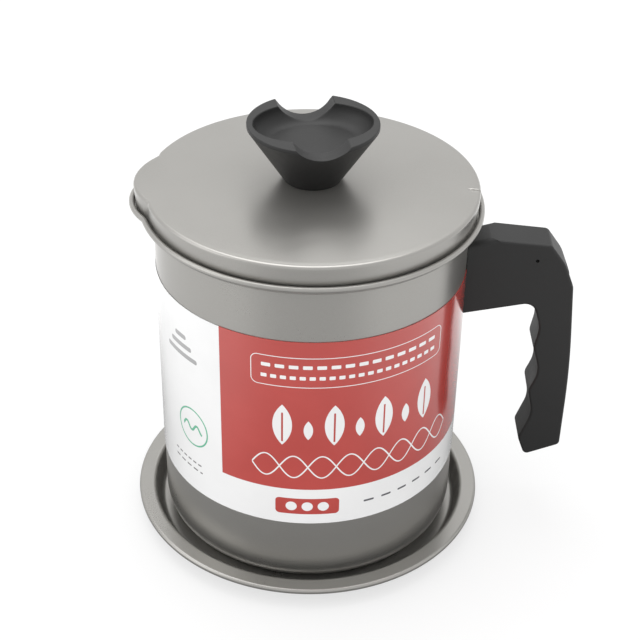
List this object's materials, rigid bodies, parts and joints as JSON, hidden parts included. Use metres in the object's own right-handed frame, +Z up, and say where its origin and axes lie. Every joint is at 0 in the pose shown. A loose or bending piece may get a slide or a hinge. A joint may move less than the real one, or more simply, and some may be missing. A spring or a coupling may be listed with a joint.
{
  "type": "bacon grease container",
  "caption": "Coated steel grease pot with pouring spout, side handle, lift-out mesh strainer and a lid with a dished knob, standing in a round drip tray.",
  "frame": {"origin": "on the pot's axis, at the underside of the drip tray", "axes": "+Z up along the pot's axis, +X towards the handle, -X towards the pouring spout"},
  "size_m": [0.1723, 0.1402, 0.1703],
  "materials": {
    "grey_coating": "satin warm grey non-stick coating on drawn steel",
    "black_moulding": "matte black heat-proof moulding",
    "printed_label": "glossy coated paper in white and brick red",
    "stainless_steel": "satin pressed stainless steel",
    "woven_mesh": "fine woven stainless wire",
    "plain_steel": "bare spring steel strap",
    "zinc_steel": "bright zinc-plated fixings",
    "brass_insert": "turned brass"
  },
  "bodies": {
    "tray": {"drip_tray": "grey_coating"},
    "pot": {"pot_body": "grey_coating", "label_wrap": "printed_label", "handle_strap": "plain_steel", "handle_nut": "zinc_steel", "handle_grip": "black_moulding", "handle_washer": "zinc_steel", "handle_screw": "zinc_steel"},
    "strainer": {"strainer_collar": "stainless_steel", "strainer_mesh": "woven_mesh", "strainer_clamp_ring": "stainless_steel", "strainer_lift_tabs": "stainless_steel"},
    "lid": {"lid_plate": "grey_coating", "lid_knob": "black_moulding", "knob_insert": "brass_insert", "knob_washer": "zinc_steel", "knob_screw": "zinc_steel"}
  },
  "joints": [
    {"name": "pot_lift", "type": "slide", "parent": "tray", "child": "pot", "axis": [0, 0, 1], "range_m": [0, 0.03]},
    {"name": "strainer_lift", "type": "slide", "parent": "pot", "child": "strainer", "axis": [0, 0, 1], "range_m": [0, 0.07]},
    {"name": "lid_lift", "type": "slide", "parent": "strainer", "child": "lid", "axis": [0, 0, 1], "range_m": [0, 0.04]}
  ]
}
